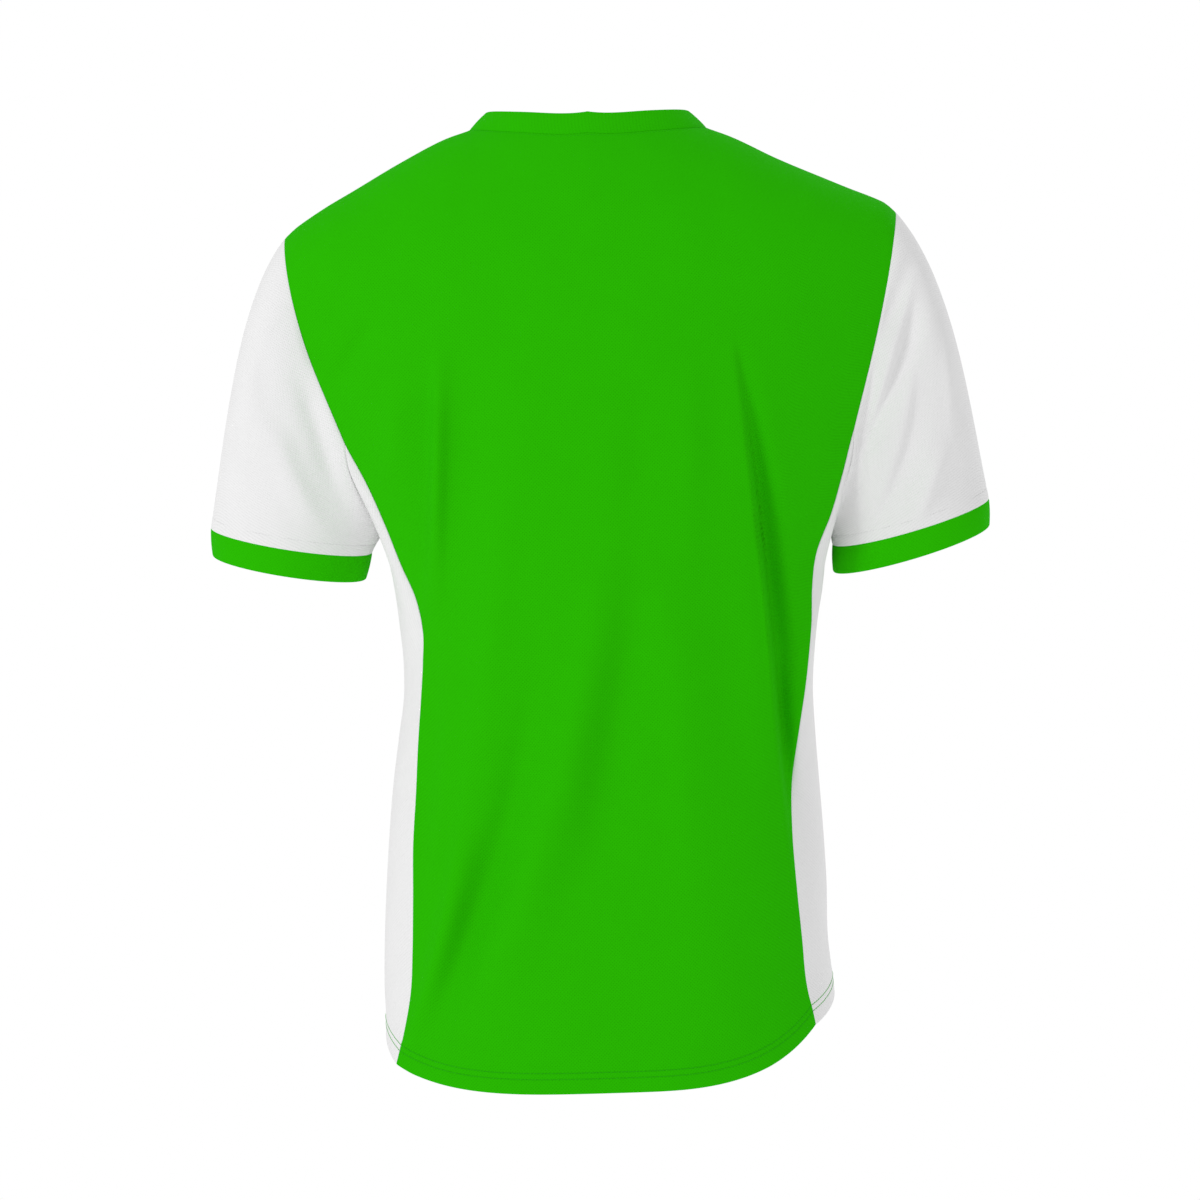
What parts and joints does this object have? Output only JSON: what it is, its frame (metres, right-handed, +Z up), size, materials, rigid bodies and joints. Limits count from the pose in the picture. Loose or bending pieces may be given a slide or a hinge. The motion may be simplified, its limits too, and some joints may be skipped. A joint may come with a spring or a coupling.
{
  "type": "football jersey",
  "caption": "Short-sleeved football jersey in green mesh knit with white side panels and sleeves, green cuffs and neck band, filled out as worn with no wearer.",
  "frame": {"origin": "midway between the two points where the neck seam crosses the shoulders, where the wearer carries it", "axes": "+Z up, +X towards the wearer's left, front facing -Y and back facing +Y"},
  "size_m": [0.5959, 0.2509, 0.7379],
  "materials": {
    "green_knit": "fine birdseye mesh knit with a slight sheen",
    "white_knit": "fine birdseye mesh knit with a slight sheen",
    "green_band": "the same knit folded double"
  },
  "bodies": {
    "root": {"back_panel": "green_knit", "front_panel": "green_knit", "side_panel_left": "white_knit", "side_panel_right": "white_knit", "sleeve_left": "white_knit", "sleeve_right": "white_knit", "cuff_left": "green_band", "cuff_right": "green_band", "neckband": "green_band"}
  },
  "joints": []
}
